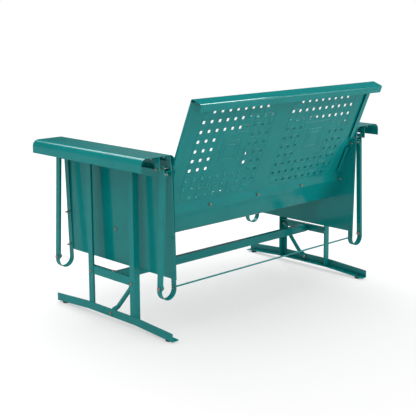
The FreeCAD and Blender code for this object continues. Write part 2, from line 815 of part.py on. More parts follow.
def folded_edge(side, length):
    """One side of the back: a shallow wall, its inward return, and a tab at each bolt."""
    end = length - edge_from_skirt
    tab_start, tab_end = side_tab_down - side_tab_half, side_tab_down + side_tab_half
    wall = [on_back(edge_from_roll, -sheet / 2), on_back(edge_from_roll, edge_fold),
            on_back(tab_start, edge_fold), on_back(tab_start + side_tab_corner, side_tab),
            on_back(tab_end - side_tab_corner, side_tab), on_back(tab_end, edge_fold),
            on_back(end, edge_fold), on_back(end, -sheet / 2)]
    middle = skirt_y - sheet / 2
    low, high = skirt_fold - 4.0, skirt_top - 4.0
    foot = [(middle - skirt_slope * (skirt_fold - low), low), (middle, skirt_fold),
            (middle, high), (skirt_y + side_tab - side_tab_corner, high),
            (skirt_y + side_tab, high - side_tab_corner), (skirt_y + side_tab, skirt_fold),
            (skirt_y + side_tab - side_tab_corner, low)]
    outer = side * back_half
    pieces = [flat_shape(outline, in_yz(outer), (-side * sheet, 0, 0))
              for outline in (wall, foot)]
    for start, stop in ((edge_from_roll, tab_start), (tab_end, end)):
        strip = [on_back(start, edge_fold - sheet), on_back(start, edge_fold),
                 on_back(stop, edge_fold), on_back(stop, edge_fold - sheet)]
        pieces.append(flat_shape(strip, in_yz(outer), (-side * edge_return, 0, 0)))
    return pieces


def cut_joint_holes(body):
    for x in joint_bolt_xs:
        body = body.cut(hole((x, skirt_y, joint_bolt_z), (0, 1, 0), M6["d"] + hole_clearance))
    return body


joint_bolt_xs = (-247.0, 0.0, 247.0)
joint_bolt_z = 417.0
skirt_inside = offset_path([(skirt_end_y, skirt_bottom), (skirt_y, skirt_fold),
                            (skirt_y, skirt_top)], sheet + joint_gap)
seat_rear_y, seat_bend_z = skirt_inside[1]
seat_fold_y = seat_rear_y - skirt_slope * (seat_bend_z - seat_rear_fold_z)
seat_rise = (seat_front_top - sheet - seat_rear_fold_z) / (seat_fold_y - seat_front_y)
seat_tilt = math.degrees(math.atan(seat_rise))


def seat_under(y):
    """Height of the seat sheet's underside."""
    return seat_rear_fold_z + seat_rise * (seat_fold_y - y)


def seat_pan():
    """Seat sheet: rear flange behind the skirt, sloping seat and front apron."""
    behind = seat_front_y + sheet
    line = [(behind, seat_front_top - seat_apron), (behind, seat_under(behind)),
            (seat_fold_y, seat_rear_fold_z), (seat_rear_y, seat_bend_z),
            (seat_rear_y, skirt_top - 6.0)]
    body = folded(line, [11.0, 11.0, 4.0], sheet, in_yz(-seat_half), (2 * seat_half, 0, 0))
    lip = [(seat_front_y + 16.0, seat_under(seat_front_y + 16.0) + sheet / 2),
           (seat_fold_y - 16.0, seat_under(seat_fold_y - 16.0) + sheet / 2),
           (seat_fold_y - 16.0, seat_under(seat_fold_y - 16.0) - seat_side_lip),
           (seat_front_y + 16.0, seat_under(seat_front_y + 16.0) - seat_side_lip)]
    for x in (-seat_half, seat_half - sheet):
        body = body.fuse(flat_shape(lip, in_yz(x), (sheet, 0, 0)))
    depth = (seat_fold_y - seat_front_y) / math.cos(math.radians(seat_tilt))
    rows = holes_that_fit(seat_end_margin, depth - seat_end_margin)
    first = (depth - (rows - 1) * hole_pitch) / 2 + 8.0

    def surface(along_seat):
        y = seat_front_y + along_seat * math.cos(math.radians(seat_tilt))
        return y, seat_under(y) + sheet / 2, -seat_tilt

    body = body.cut(perforation(first, rows, surface))
    return cut_joint_holes(body)


seat_side_lip = 9.0
rail_tab = 20.0
rail_wall = 2.0
front_rail_height = 34.0
middle_rail_height = 26.0


def rail_half(bolt_z, height):
    """Half length of a seat rail, just clear of the leaning panels at its lower edge."""
    return panel_face(bolt_z - height / 2) - sheet - 0.4


def seat_rail(front, bolt_y, bolt_z, height, room):
    """Channel across under the seat, with a tab folded at each end for the panel bolt."""
    half = rail_half(bolt_z, height)
    inside = seat_half - sheet - 1.0
    rear = front + rail_tab
    low = bolt_z - height / 2
    top = seat_under(rear) - room
    tab_top = top - seat_side_lip - 1.0
    body = box(-half, half, front, front + rail_wall, low, tab_top)
    pieces = [box(-inside, inside, front, front + rail_wall, low, top),
              box(-inside, inside, front, rear, top - rail_wall, top),
              box(half - rail_wall, half, front, rear, low, tab_top),
              box(-half, rail_wall - half, front, rear, low, tab_top)]
    body = body.fuse(pieces).removeSplitter()
    return body.cut(hole((0, bolt_y, bolt_z), (1, 0, 0), M6["d"] + hole_clearance, 3 * half))


def tie_rod():
    """Rod between the two rear straps, threaded at its ends."""
    end = strap_in(tie_rod_z) + strap_thickness + 8.0
    return cylinder((-end, pivot_rear_y, tie_rod_z), (1, 0, 0), tie_rod_diameter / 2, 2 * end)


def tie_rod_nuts():
    """Two nuts on each end of the rod, one each side of the strap."""
    nuts = []
    for x in (strap_in(tie_rod_z) - 5.3, strap_in(tie_rod_z) + strap_thickness + 0.3):
        at = (x, pivot_rear_y, tie_rod_z)
        nut = hexagon(at, (1, 0, 0), M6["af"], 5.0)
        nuts.append(nut.cut(cylinder(at, (1, 0, 0), tie_rod_diameter / 2 + 0.1, 5.0)))
    return all_corners(nuts)


lean_room = 0.25


def seat_fasteners():
    """Bolts that join the straps, panels, sheets and brackets."""
    outward, inward = (1, 0, 0), (-1, 0, 0)
    pivots, longs, straps, rivets, sides = [], [], [], [], []
    for y in (pivot_front_y, pivot_rear_y):
        head = strap_out(pivot_low_z) + 0.35
        grip = head - (link_out_low - link_thickness - 0.4)
        pivots += bolt_set((head, y, pivot_low_z), inward, pivot_bolt, grip, 2.5)
        leg = strap_out(pivot_low_z) - strap_thickness
        pivots.append(ring((leg - 1.1, y, pivot_low_z), outward, 7.5, pivot_diameter / 2 + 0.1,
                           0.7))
        face = panel_face(long_bolt_z)
        longs += bolt_set((face - sheet - 0.15, y, long_bolt_z), outward, M6,
                          bracket_out - face + sheet + 0.2, 2.0, dome=True)
        longs.append(ring((face + 0.2, y, long_bolt_z), outward, 7.0, 3.2,
                          strap_top_gap - 0.4))
    for z in (strap_bolt_low_z, strap_bolt_high_z):
        head = panel_face(z) - sheet - 0.15
        if z == strap_bolt_high_z:
            head = rail_half(z, front_rail_height) - rail_wall - 0.05
        straps += bolt_set((head, pivot_front_y, z), outward, M6,
                           strap_in(z) + strap_thickness - head + lean_room, 10.0)
        face = panel_face(z) - sheet - 0.1
        leg = strap_in(z) + strap_thickness + lean_room
        shank = cylinder((face, pivot_rear_y, z), outward, 3.0, leg - face)
        caps = [cylinder((face, pivot_rear_y, z), inward, 5.5, 1.6),
                cylinder((leg, pivot_rear_y, z), outward, 5.5, 1.6)]
        rivets.append(shank.fuse(caps))
    face = panel_face(middle_bolt_z) + 0.15
    grip = face - rail_half(middle_bolt_z, middle_rail_height) + rail_wall + 0.05
    middle = bolt_set((face, middle_rail_y, middle_bolt_z), inward, M6, grip, 2.0)
    for y, z in back_bolt_spots:
        gap = panel_face(z) - back_half
        sides += bolt_set((panel_face(z) + lean_room, y, z), inward, M6,
                          gap + sheet + lean_room + 0.1, 3.0, dome=True)
    joints = []
    for x in joint_bolt_xs:
        joints += bolt_set((x, skirt_y - 2 * sheet - 0.1, joint_bolt_z), (0, 1, 0), M6,
                           2 * sheet + 0.2, 2.5, dome=True)
    export("pivot_bolts", all_corners(pivots))
    export("long_bolts", all_corners(longs))
    export("strap_bolts", all_corners(straps))
    export("strap_rivets", all_corners(rivets))
    export("seat_rail_bolts", all_corners(middle))
    export("back_side_bolts", all_corners(sides))
    export("seat_joint_bolts", joints)


def build():
    os.makedirs("parts", exist_ok=True)
    both_sides("foot_rail", foot_rail())
    pads = [foot_pad(y) for y in (-pad_y, pad_y)]
    export("foot_pads", all_corners(pads))
    both_sides("front_upright", upright(-1))
    both_sides("rear_upright", upright(1))
    both_sides("crossbar", crossbar())
    tube = brace()
    export("diagonal_brace_left", [tube])
    export("diagonal_brace_right", half_turn([tube]))
    both_sides("top_rail", top_rail())
    bushes = [rail_bush(y) for y in (pivot_front_y, pivot_rear_y)]
    export("rail_bushes", all_corners(bushes))
    export("stretcher", [stretcher()])
    frame_fasteners()

    for place, y in (("front", pivot_front_y), ("rear", pivot_rear_y)):
        both_sides("swing_link_" + place, swing_link(y))
        pin = link_pin(y)
        export("link_pin_" + place + "_left", pin)
        export("link_pin_" + place + "_right", [mirror_x(s) for s in pin])
        driven = place == "front"
        left_clearance = running_clearance if driven else open_pivot_clearance
        export("link_bush_" + place + "_left", [link_bush(y, left_clearance)])
        export("link_bush_" + place + "_right", [mirror_x(link_bush(y, open_pivot_clearance))])
        both_sides("strap_" + place, strap(y, place == "front"))
        both_sides("arm_bracket_" + place, arm_bracket(y))

    both_sides("side_panel", side_panel())
    both_sides("arm", arm())
    export("arm_nuts", all_corners(arm_nuts()))
    export("back_panel", [back_panel()])
    export("seat_pan", [seat_pan()])
    front = seat_rail(seat_front_y + sheet + 1.5, pivot_front_y, strap_bolt_high_z,
                      front_rail_height, 5.0)
    export("seat_rail_front", [front])
    export("seat_rail_middle", [seat_rail(middle_rail_y - rail_tab / 2, middle_rail_y,
                                          middle_bolt_z, middle_rail_height, 0.8)])
    export("tie_rod", [tie_rod()])
    export("tie_rod_nuts", tie_rod_nuts())
    seat_fasteners()


build()
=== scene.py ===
# %% [markdown]
# # A porch glider bench
# This script dresses a finished CAD model. The steel pieces of the bench arrive as a fixed
# frame, in metres, with +Z up and the sitter looking along -Y. We give every piece the finish
# of the real one, and make the two pressed and punched sheets anew, because their relief is
# what catches the eye.

# %% Load the frame
import json
import math

import bmesh
import bpy
from mathutils import Matrix, Vector


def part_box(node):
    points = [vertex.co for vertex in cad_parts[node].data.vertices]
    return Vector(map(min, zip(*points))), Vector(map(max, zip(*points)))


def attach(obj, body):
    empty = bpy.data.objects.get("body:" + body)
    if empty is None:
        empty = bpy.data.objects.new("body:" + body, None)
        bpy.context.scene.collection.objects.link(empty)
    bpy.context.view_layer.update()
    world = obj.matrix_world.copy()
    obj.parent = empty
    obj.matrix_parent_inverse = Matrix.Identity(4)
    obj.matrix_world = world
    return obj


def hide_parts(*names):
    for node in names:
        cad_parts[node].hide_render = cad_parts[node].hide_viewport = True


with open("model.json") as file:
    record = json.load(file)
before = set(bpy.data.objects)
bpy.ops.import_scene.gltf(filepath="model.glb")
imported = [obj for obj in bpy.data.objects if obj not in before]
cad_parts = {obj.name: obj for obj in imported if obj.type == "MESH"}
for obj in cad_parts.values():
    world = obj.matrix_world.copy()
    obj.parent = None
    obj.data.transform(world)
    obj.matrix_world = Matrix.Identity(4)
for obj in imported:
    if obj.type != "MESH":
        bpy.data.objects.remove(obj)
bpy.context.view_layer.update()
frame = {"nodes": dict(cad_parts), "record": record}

# %% [markdown]
# ## The camera
# The bench is seen from behind and from its left, from a little above the arms. The lens is
# long, so that the edges which run away from us stay almost parallel. A small shift keeps the
# uprights from leaning together.

# %% Camera
IMAGE_WIDTH = 416
SENSOR_MM = 36.0
FOCAL_PIXELS = 951.2
CAMERA_PLACE = (2.5400, 2.5582, 1.1318)
CAMERA_AZIMUTH, CAMERA_RISE = math.radians(134.67), math.radians(9.91)
CAMERA_SHIFT = (-0.064, -0.100)


def toward_viewer(turn, rise):
    """Unit vector from the bench to an eye at that azimuth and height angle."""
    return Vector((math.sin(turn) * math.cos(rise), -math.cos(turn) * math.cos(rise),
                   math.sin(rise)))


camera_data = bpy.data.cameras.new("studio_camera")
camera_data.sensor_width = SENSOR_MM
camera_data.lens = FOCAL_PIXELS / IMAGE_WIDTH * SENSOR_MM
camera_data.shift_x, camera_data.shift_y = CAMERA_SHIFT
camera = bpy.data.objects.new("studio_camera", camera_data)
camera.location = CAMERA_PLACE
looking = -toward_viewer(CAMERA_AZIMUTH, CAMERA_RISE)
camera.rotation_euler = looking.to_track_quat("-Z", "Y").to_euler()
bpy.context.scene.collection.objects.link(camera)
bpy.context.scene.camera = camera
bpy.context.scene.view_settings.view_transform = "Standard"
print("lens", round(camera_data.lens, 1), "mm")

# %% [markdown]
# ## One way to make a node
# Materials, the world and the sheets' holes are all node trees. Wiring them by hand takes many
# lines, so one function adds a node of any type: first its settings, then the values or links
# of its sockets.


# %% Make a node
class Made:
    """A new node, and its outputs by name or number."""

    def __init__(self, tree, node):
        self.tree = tree
        self.node = node

    def out(self, name):
        return Field(self.tree, self.node.outputs[name])


def feed(tree, node, values):
    """Set or link inputs. A list holds the links of one socket that takes several."""
    for name, value in values.items():
        for one in value if isinstance(value, list) else [value]:
            if isinstance(one, Field):
                tree.links.new(one.socket, node.inputs[name])
            else:
                node.inputs[name].default_value = one


def make(tree, kind, settings=None, values=None):
    """Add a node of that type."""
    node = tree.nodes.new(kind)
    for name, value in (settings or {}).items():
        setattr(node, name, value)
    feed(tree, node, values or {})
    return Made(tree, node)


print("node maker ready")

# %% [markdown]
# ## Shader sums as plain sums
# A procedural finish is arithmetic on fields: noise, distance, masks. Chains of Math nodes
# hide the idea, so a small class wraps a socket and lets us write the sum itself.


# %% A socket that can be added and multiplied
class Field:
    """One output socket in a node tree, with ordinary arithmetic."""

    def __init__(self, tree, socket):
        self.tree = tree
        self.socket = socket

    def math(self, operation, *others):
        return make(self.tree, "ShaderNodeMath", {"operation": operation},
                    dict(enumerate((self, *others)))).out(0)

    def flipped(self, operation, other):
        return make(self.tree, "ShaderNodeMath", {"operation": operation},
                    {0: other, 1: self}).out(0)

    def __add__(self, other):
        return self.math("ADD", other)

    def __radd__(self, other):
        return self.flipped("ADD", other)

    def __sub__(self, other):
        return self.math("SUBTRACT", other)

    def __rsub__(self, other):
        return self.flipped("SUBTRACT", other)

    def __mul__(self, other):
        return self.math("MULTIPLY", other)

    def __rmul__(self, other):
        return self.flipped("MULTIPLY", other)

    def __truediv__(self, other):
        return self.math("DIVIDE", other)

    def between(self, low, high):
        """0 under the low value, 1 over the high one, with a soft step between."""
        return make(self.tree, "ShaderNodeMapRange", {"interpolation_type": "SMOOTHSTEP"},
                    {"Value": self, "From Min": low, "From Max": high}).out("Result")


print("sums of sockets ready")

# %% [markdown]
# ## What the finishes share
# Every finish starts from the object's own coordinates in metres, so that its grain has a real
# size and stays on the piece when the bench swings. Noise varies it, and a bump from the same
# noise makes the light agree with the colour.

# %% Noise, mixed colours and bumps


def new_finish(name):
    """Empty material with its shader, and the object's own coordinates in metres."""
    finish = bpy.data.materials.new(name)
    finish.use_nodes = True
    tree = finish.node_tree
    shader = tree.nodes["Principled BSDF"]
    place = make(tree, "ShaderNodeTexCoord").out("Object")
    return finish, tree, shader, place


def noise(tree, place, size, detail=2.0, stretch=None):
    """Noise whose lumps are about that size in metres."""
    if stretch:
        place = make(tree, "ShaderNodeMapping", {},
                     {"Vector": place, "Scale": stretch}).out("Vector")
    return make(tree, "ShaderNodeTexNoise", {},
                {"Vector": place, "Scale": 1.0 / size, "Detail": detail}).out("Fac")


def mixed(tree, share, first, second):
    """Colour between two colours, through the colour sockets of a Mix node."""
    return make(tree, "ShaderNodeMix", {"data_type": "RGBA"},
                {"Factor": share, 6: first, 7: second}).out(2)


def bumped(tree, height, distance, strength):
    """Normal that follows a height field."""
    return make(tree, "ShaderNodeBump", {}, {"Height": height, "Distance": distance,
                                             "Strength": strength}).out("Normal")


print("finish helpers ready")

# %% [markdown]
# ## Powder coat
# The steel is powder coated in a deep teal and cured to a hard gloss. Close up such a coat has
# faint orange peel, a hair of colour drift from spray thickness, and a film of dust that dulls
# the gloss in soft patches. The base is plain plastic-like paint with a clear coat over it,
# not a metal: the pigment hides the steel.

# %% Powder coat
TEAL = (0.0008, 0.152, 0.149, 1.0)
TEAL_THIN = (0.0012, 0.177, 0.172, 1.0)


def powder_coat():
    finish, tree, shader, place = new_finish("teal_powder_coat")
    drift = noise(tree, place, size=0.11, detail=3.0)
    speck = noise(tree, place, size=0.0016)
    peel = noise(tree, place, size=0.0045, detail=1.0)
    dust = noise(tree, place, size=0.045, detail=4.0).between(0.48, 0.78)
    thin = drift.between(0.3, 0.7) * 0.6 + speck * 0.15
    feed(tree, shader, {
        "Base Color": mixed(tree, thin, TEAL, TEAL_THIN),
        "Roughness": 0.11 + dust * 0.10 + speck * 0.03,
        "Coat Weight": 0.25 - dust * 0.15,
        "Coat Roughness": 0.045,
        "IOR": 1.42,
        "Normal": bumped(tree, peel, distance=0.00010, strength=0.35)})
    return finish


teal = powder_coat()
print(teal.name, len(teal.node_tree.nodes), "nodes")

# %% [markdown]
# ## Zinc plate
# The bolts, nuts and pins are zinc plated. The plate is a metal with a soft satin sheen, a
# slight straw tint where its chromate film is thick, and fine scratches from the spanner.

# %% Zinc plate
BARE_ZINC = (0.56, 0.55, 0.52, 1.0)
STRAW_FILM = (0.50, 0.44, 0.33, 1.0)


def zinc_plate():
    finish, tree, shader, place = new_finish("zinc_plate")
    film = noise(tree, place, size=0.006, detail=3.0)
    scratch = noise(tree, place, size=0.0009, stretch=(1.0, 1.0, 9.0))
    feed(tree, shader, {
        "Base Color": mixed(tree, film.between(0.35, 0.7), BARE_ZINC, STRAW_FILM),
        "Roughness": 0.28 + film * 0.14 + scratch * 0.10,
        "Metallic": 1.0,
        "Normal": bumped(tree, scratch, distance=0.00006, strength=0.4)})
    return finish


zinc = zinc_plate()
print(zinc.name, len(zinc.node_tree.nodes), "nodes")

# %% [markdown]
# ## Nylon
# The bearing bushes are natural nylon, a milky, slightly waxy plastic. A little light goes
# under its surface, which subsurface scattering gives at a low weight.

# %% Nylon
NYLON_SHADE = (0.70, 0.68, 0.60, 1.0)
NYLON_MILK = (0.80, 0.79, 0.73, 1.0)


def natural_nylon():
    finish, tree, shader, place = new_finish("natural_nylon")
    cloud = noise(tree, place, size=0.008)
    feed(tree, shader, {
        "Base Color": mixed(tree, cloud, NYLON_SHADE, NYLON_MILK),
        "Roughness": 0.38 + cloud * 0.12,
        "Subsurface Weight": 0.1,
        "Subsurface Radius": (0.002, 0.002, 0.0015),
        "Normal": bumped(tree, cloud, distance=0.00008, strength=0.3)})
    return finish


nylon = natural_nylon()
print(nylon.name, len(nylon.node_tree.nodes), "nodes")

# %% [markdown]
# ## Rubber
# The feet are dark moulded rubber, dull, with a fine grain and a little dust in it. A rough
# shader is enough, because rubber has hardly any sheen.

# %% Rubber
RUBBER_DARK = (0.018, 0.016, 0.015, 1.0)
RUBBER_DUST = (0.075, 0.066, 0.055, 1.0)


def moulded_rubber():
    finish, tree, shader, place = new_finish("moulded_rubber")
    grain = noise(tree, place, size=0.0011, detail=3.0)
    dust = noise(tree, place, size=0.012, detail=4.0).between(0.45, 0.75)
    feed(tree, shader, {
        "Base Color": mixed(tree, dust * 0.5, RUBBER_DARK, RUBBER_DUST),
        "Roughness": 0.62 + grain * 0.2,
        "Normal": bumped(tree, grain, distance=0.00025, strength=0.6)})
    return finish


rubber = moulded_rubber()
print(rubber.name, len(rubber.node_tree.nodes), "nodes")

# %% [markdown]
# ## Finishes on the CAD pieces
# Each CAD piece names a material slot in the record. Its mesh stays as it is. Only the material
# in its slot changes.

# %% Give each CAD piece its finish
finishes = {"painted": teal, "zinc": zinc, "bush": nylon, "rubber": rubber}
slot_of = {row["node"]: row["material_slot"] for row in frame["record"]["subparts"]}
for node, piece in frame["nodes"].items():
    for slot in piece.material_slots:
        slot.material = finishes[slot_of[node]]
print("finished", len(slot_of), "CAD pieces")

# %% [markdown]
# ## Folding a sheet
# A folded sheet is a line with rounded corners, drawn once for each face and swept across. Both
# faces turn about the same centres, so the sheet keeps its thickness. The corners get a few
# steps each, which is enough for a smooth highlight.

# %% The two faces of a fold line
SHEET = 0.0015
FOLD_STEPS = 6


def moved_corners(points, shift):
    """The corners of a line in a plane, after each of its runs moves to its left."""
    moved = []
    for i, point in enumerate(points):
        runs = [points[j + 1] - points[j] for j in (i - 1, i) if 0 <= j < len(points) - 1]
        sides = [Vector((-run.y, run.x)).normalized() for run in runs]
        total = sum(sides, Vector((0, 0)))
        moved.append(point + total * (shift * len(sides) / total.length_squared))
    return moved


def face_line(points, radii, shift):
    """One face of a folded sheet: the line moved to its left, its corners rounded.

    The radii belong to the line itself, and a left turn shortens them by the shift.
    """
    moved = moved_corners(points, shift)
    line = [moved[0]]
    for i, radius in enumerate(radii, 1):
        before = (moved[i - 1] - moved[i]).normalized()
        after = (moved[i + 1] - moved[i]).normalized()
        left_turn = before.cross(after) < 0
        turned = radius - shift if left_turn else radius + shift
        half = before.angle(after) / 2
        centre = moved[i] + (before + after).normalized() * (turned / math.sin(half))
        start = moved[i] + before * (turned / math.tan(half)) - centre
        end = moved[i] + after * (turned / math.tan(half)) - centre
        sweep = start.angle_signed(end)
        for k in range(FOLD_STEPS + 1):
            line.append(centre + Matrix.Rotation(-sweep * k / FOLD_STEPS, 2) @ start)
    line.append(moved[-1])
    return line


print("fold steps", FOLD_STEPS, "sheet", SHEET * 1000, "mm")

# %% [markdown]
# ## Punching and pressing a panel
# Both large sheets carry two square fields of rounded square holes. The strips between the
# holes are pressed into short bars that lie along and across in turn, as in a woven basket.
# Geometry Nodes suit this well: one hole and one bar are made once, set on two lattices, and
# the flat rest is filled between their outlines in one go.


# %% A geometry tree with named inputs
class Tree:
    """A geometry node tree with named inputs and the same way of adding nodes."""

    def __init__(self, name, inputs):
        self.tree = bpy.data.node_groups.new(name, "GeometryNodeTree")
        face = self.tree.interface
        face.new_socket("Geometry", in_out="INPUT", socket_type="NodeSocketGeometry")
        face.new_socket("Geometry", in_out="OUTPUT", socket_type="NodeSocketGeometry")
        self.names = {}
        for label, (kind, value) in inputs.items():
            socket = face.new_socket(label, in_out="INPUT", socket_type="NodeSocket" + kind)
            if value is not None:
                socket.default_value = value
            self.names[label] = socket.identifier
        self.start = self.tree.nodes.new("NodeGroupInput")
        self.end = self.tree.nodes.new("NodeGroupOutput")

    def given(self, label):
        return Field(self.tree, self.start.outputs[label])

    def add(self, kind, settings=None, values=None):
        return make(self.tree, kind, settings, values).out(0)

    def vector(self, x=0.0, y=0.0, z=0.0):
        return self.add("ShaderNodeCombineXYZ", {}, {"X": x, "Y": y, "Z": z})

    def moved(self, geometry, offset):
        return self.add("GeometryNodeTransform", {},
                        {"Geometry": geometry, "Translation": offset})

    def joined(self, pieces):
        return self.add("GeometryNodeJoinGeometry", {}, {"Geometry": pieces[::-1]})

    def finish(self, geometry):
        feed(self.tree, self.end, {0: geometry})


print("tree wrapper ready")

# %% [markdown]
# ## The fields' measures
# A field is ten by ten places at one pitch. Its four corners and the four by four places in its
# middle stay whole. The bars sit halfway between the holes, and each is pressed up in two steps
# that grow smaller towards its top.

# %% The panel's measures and repeats
PITCH = 0.03743
LATTICE = 10
PLAIN = 4
FIRST_COLUMN = 0.0565  # from the middle of the sheet to the nearest column of holes
FIELD_X = FIRST_COLUMN + (LATTICE - 1) / 2 * PITCH
HOLE, HOLE_CORNER = 0.0115, 0.0025
BAR_LENGTH, BAR_WIDTH, BAR_CORNER = 0.0516, 0.0202, 0.004
RISE = 0.0013
ROUND_STEPS = 2  # of a hole's or bar's corner
LIP_POINTS = 5  # across the lip of a hole


class PanelTree(Tree):
    """The tree of one panel: its measures, and what repeats on both its fields."""

    def __init__(self):
        super().__init__("punched_and_pressed", {
            "Pitch": ("Float", PITCH), "Count": ("Int", LATTICE),
            "Plain": ("Float", float(PLAIN)), "Hole": ("Float", HOLE),
            "Corner": ("Float", HOLE_CORNER), "Field X": ("Float", FIELD_X),
            "Field Y": ("Float", 0.0), "Sheet": ("Float", SHEET), "Rise": ("Float", RISE),
            "Bar Length": ("Float", BAR_LENGTH), "Bar Width": ("Float", BAR_WIDTH),
            "Finish": ("Material", None)})
        place = self.add("GeometryNodeInputPosition")
        parts = make(self.tree, "ShaderNodeSeparateXYZ", {}, {"Vector": place})
        self.x, self.y = parts.out("X"), parts.out("Y")
        self.across, self.along = self.x.math("ABSOLUTE"), self.y.math("ABSOLUTE")

    def lattice(self, points):
        """Points of one square lattice about the middle of a field."""
        size = (points - 1.0) * self.given("Pitch")
        return self.add("GeometryNodeMeshGrid", {}, {"Size X": size, "Size Y": size,
                                                     "Vertices X": points,
                                                     "Vertices Y": points})

    def without(self, mesh, mask):
        """The lattice without the points that the mask covers."""
        return self.add("GeometryNodeDeleteGeometry", {"domain": "POINT"},
                        {"Geometry": mesh, "Selection": mask})

    def inside(self, limit):
        """1 where a point is nearer to the middle than the limit, both ways."""
        return self.across.math("MAXIMUM", self.along).math("LESS_THAN", limit)

    def on_both_fields(self, shape, points, rotation=(0.0, 0.0, 0.0)):
        """The shape on each point of the left and the right field."""
        one = self.add("GeometryNodeInstanceOnPoints", {},
                       {"Points": points, "Instance": shape, "Rotation": rotation})
        shift_x, shift_y = self.given("Field X"), self.given("Field Y")
        fields = [self.moved(one, self.vector(side * shift_x, shift_y)) for side in (1.0, -1.0)]
        return self.add("GeometryNodeRealizeInstances", {}, {"Geometry": self.joined(fields)})

    def rounded(self, width, height, radius):
        """Outline of a rectangle with rounded corners."""
        line = self.add("GeometryNodeCurvePrimitiveQuadrilateral", {},
                        {"Width": width, "Height": height})
        return self.add("GeometryNodeFilletCurve", {"mode": "POLY"},
                        {"Curve": line, "Radius": radius, "Count": ROUND_STEPS})


print("holes per field", LATTICE ** 2 - PLAIN ** 2 - 4, "pitch", PITCH * 1000, "mm")

# %% [markdown]
# ## The holes
# A punched hole has a slightly rolled edge on both sides. Its outline bounds the flat steel, and
# a half round lip swept along it joins the front to the back.

# %% Holes


def punched_holes(tree):
    """The outlines of all holes, and their lips."""
    pitch, sheet = tree.given("Pitch"), tree.given("Sheet")
    count = tree.given("Count")
    edge = (count - 2.0) / 2.0 * pitch
    corners = tree.across.math("MINIMUM", tree.along).math("GREATER_THAN", edge)
    middle = tree.inside(tree.given("Plain") / 2.0 * pitch)
    points = tree.without(tree.lattice(count), corners.math("MAXIMUM", middle))
    size = tree.given("Hole") + sheet
    line = tree.rounded(size, size, tree.given("Corner") + sheet / 2.0)
    half_round = tree.add("GeometryNodeCurveArc", {"mode": "RADIUS"},
                          {"Resolution": LIP_POINTS, "Radius": sheet / 2.0,
                           "Start Angle": math.pi / 2, "Sweep Angle": math.pi})
    up_line = tree.add("GeometryNodeSetCurveNormal", {"mode": "Z_UP"}, {"Curve": line})
    lip = tree.add("GeometryNodeCurveToMesh", {},
                   {"Curve": up_line, "Profile Curve": half_round})
    return tree.on_both_fields(line, points), tree.on_both_fields(lip, points)


print("hole", HOLE * 1000, "mm")

# %% [markdown]
# ## The bars
# The bars stand on the lattice of the cells between the holes. A chessboard rule turns every
# other one by a right angle. Each starts as its flat outline and is drawn up twice, smaller each
# time, which gives the soft shoulders of pressed steel.

# %% Bars
BAR_STEPS = ((0.80, 0.75), (0.45, 0.25))  # share of the size that is kept, share of the rise


def pressed_bars(tree):
    """The outlines of all bars, and the bars themselves."""
    pitch = tree.given("Pitch")
    plain = tree.inside((tree.given("Plain") + 0.5) / 2.0 * pitch)
    cells = tree.without(tree.lattice(tree.given("Count") - 1.0), plain)
    odd = ((tree.x + tree.y) / pitch).math("ROUND").math("PINGPONG", 1.0)
    turn = tree.vector(0.0, 0.0, odd * (math.pi / 2))
    line = tree.rounded(tree.given("Bar Length"), tree.given("Bar Width"), BAR_CORNER)
    bar = tree.add("GeometryNodeFillCurve", {"mode": "NGONS"}, {"Curve": line})
    for kept, height in BAR_STEPS:
        raised = make(tree.tree, "GeometryNodeExtrudeMesh", {"mode": "FACES"},
                      {"Mesh": bar, "Offset": tree.vector(0.0, 0.0, 1.0),
                       "Offset Scale": tree.given("Rise") * height})
        bar = tree.add("GeometryNodeScaleElements", {"domain": "FACE"},
                       {"Geometry": raised.out("Mesh"), "Selection": raised.out("Top"),
                        "Scale": kept})
    return tree.on_both_fields(line, cells, turn), tree.on_both_fields(bar, cells, turn)


print("bars per field", (LATTICE - 1) ** 2 - (PLAIN + 1) ** 2)

# %% [markdown]
# ## The panel's tree
# A rim is drawn as edges and goes in. The flat steel is filled between the rim and all outlines,
# the bars join it, and a copy turned face down makes the back. Merging closes the seams.

# %% The panel tree
MERGE = 1e-5


def panel_tree():
    tree = PanelTree()
    hole_lines, lips = punched_holes(tree)
    bar_lines, bars = pressed_bars(tree)
    sheet = tree.given("Sheet")
    rim = tree.add("GeometryNodeMeshToCurve", {}, {"Mesh": tree.given("Geometry")})
    flat = tree.add("GeometryNodeFillCurve", {"mode": "TRIANGLES"},
                    {"Curve": tree.joined([rim, hole_lines, bar_lines])})
    face = tree.joined([flat, bars])
    front = tree.moved(face, tree.vector(0.0, 0.0, sheet / 2.0))
    back = tree.add("GeometryNodeFlipFaces", {},
                    {"Mesh": tree.moved(face, tree.vector(0.0, 0.0, sheet / -2.0))})
    solid = tree.add("GeometryNodeMergeByDistance", {},
                     {"Geometry": tree.joined([front, back, lips]), "Distance": MERGE})
    real = tree.add("GeometryNodeRealizeInstances", {}, {"Geometry": solid})
    tree.finish(tree.add("GeometryNodeSetMaterial", {},
                         {"Geometry": real, "Material": tree.given("Finish")}))
    return tree


panel_maker = panel_tree()
print("panel tree", len(panel_maker.tree.nodes), "nodes")

# %% [markdown]
# ## Beads
# Each field is framed by a pressed bead with round corners, and its plain centre has a square
# step and two smaller rounded squares. A bead is a stack of loops round one path: every loop
# keeps a fixed distance from it, so all loops have the same number of points.

# %% Loops and beads
CORNER_STEPS = 7
BEAD_STEPS = 6
# Half size and corner radius in pitches, width in metres, share of the full rise
BEADS = ((4.90, 1.00, 0.0070, 1.0), (2.02, 0.15, 0.0040, 0.7),
         (1.20, 0.24, 0.0052, 0.9), (0.76, 0.18, 0.0046, 0.9))


